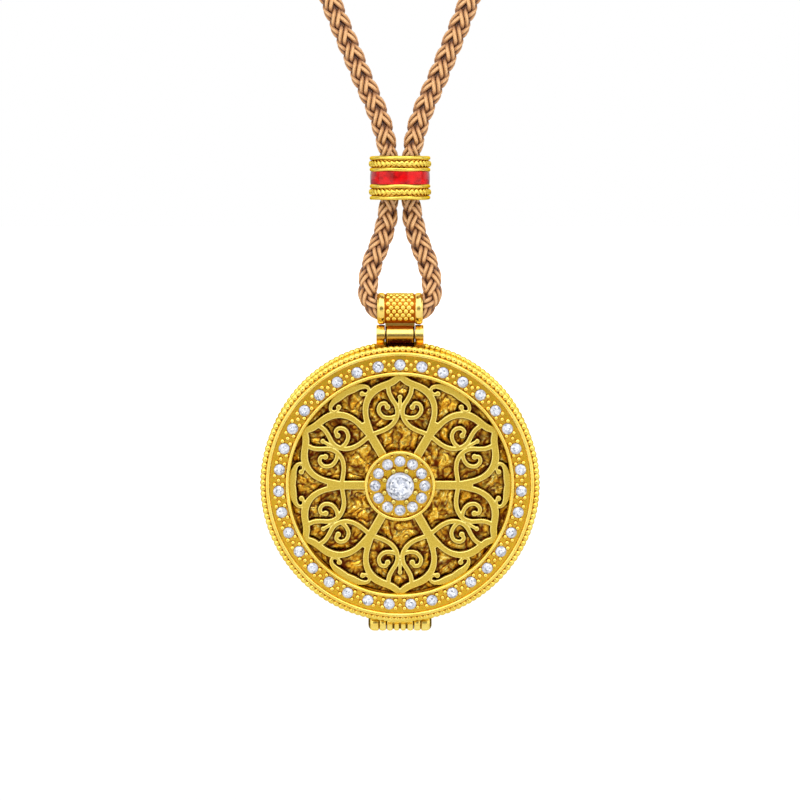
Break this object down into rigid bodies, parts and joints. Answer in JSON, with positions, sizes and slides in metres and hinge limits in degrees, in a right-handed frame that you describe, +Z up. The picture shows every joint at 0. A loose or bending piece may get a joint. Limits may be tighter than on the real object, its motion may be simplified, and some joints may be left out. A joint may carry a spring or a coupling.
{
  "type": "hinged amulet locket pendant on a cord",
  "caption": "Round hinged amulet box with a pierced lotus lid and a stone set rim, hung by a barrel bail on a braided cord with a ringed slide bead.",
  "frame": {"origin": "the point under the cord's knot where the cord is hung up, in the middle of the cord's thickness", "axes": "+Z up along the hanging cord, -Y the way the lid faces, +X to the viewer's right along the hinge pins"},
  "size_m": [0.0362, 0.0086, 0.104],
  "materials": {
    "gilt_polished": "polished rich yellow gold plating",
    "gilt_satin": "fine satin gold plating with bright edges",
    "gilt_foil": "crumpled antiqued gold foil, ochre with maroon hollows",
    "clear_stone": "clear brilliant cut stones",
    "red_enamel": "glossy translucent red enamel",
    "liner_rubber": "matt black silicone",
    "hinge_steel": "plain polished hinge pins",
    "braid": "tan braided waxed cord with a soft sheen"
  },
  "bodies": {
    "cord": {"cord_left": "braid", "cord_right": "braid", "cord_loop": "braid", "cord_knot": "braid"},
    "bead": {"bead_sleeve": "gilt_polished", "bead_band_upper": "gilt_polished", "bead_band_lower": "gilt_polished", "bead_enamel": "red_enamel", "bead_liner": "liner_rubber"},
    "bail": {"bail_barrel": "gilt_polished", "bail_rim_left": "gilt_polished", "bail_rim_right": "gilt_polished", "bail_studs": "gilt_polished", "bail_neck": "gilt_polished"},
    "case": {"rear_case": "gilt_polished", "rear_beading": "gilt_polished", "back_plate": "gilt_polished", "case_lip": "gilt_polished", "catch_bump": "gilt_polished", "bail_ear_left": "gilt_polished", "bail_ear_right": "gilt_polished", "case_knuckle_left": "gilt_polished", "case_knuckle_right": "gilt_polished", "lid_hinge_pin": "hinge_steel", "bail_hinge_pin": "hinge_steel"},
    "lid": {"lid_bezel": "gilt_polished", "front_beading": "gilt_polished", "rim_stones": "clear_stone", "rim_grains": "gilt_polished", "pierced_lotus": "gilt_satin", "centre_collet": "gilt_polished", "halo_stones": "clear_stone", "centre_stone": "clear_stone", "centre_prongs": "gilt_polished", "centre_grains": "gilt_polished", "retaining_ring": "gilt_polished", "ground_foil": "gilt_foil", "lid_lining": "gilt_polished", "lid_hinge_knuckle": "gilt_polished"}
  },
  "joints": [
    {"name": "bead_slide", "type": "slide", "parent": "cord", "child": "bead", "axis": [0, 0, 1], "range_m": [-0.006, 0.012], "deforming": ["cord_left", "cord_right", "cord_loop"]},
    {"name": "bail_swing", "type": "hinge", "parent": "cord", "child": "bail", "pos_m": [0, 0, -0.0563], "axis": [1, 0, 0], "range_deg": [-40, 40]},
    {"name": "case_swing", "type": "hinge", "parent": "bail", "child": "case", "pos_m": [0, 0, -0.05972], "axis": [1, 0, 0], "range_deg": [-65, 65]},
    {"name": "lid_open", "type": "hinge", "parent": "case", "child": "lid", "pos_m": [0, 0, -0.09767], "axis": [1, 0, 0], "range_deg": [0, 115]}
  ]
}
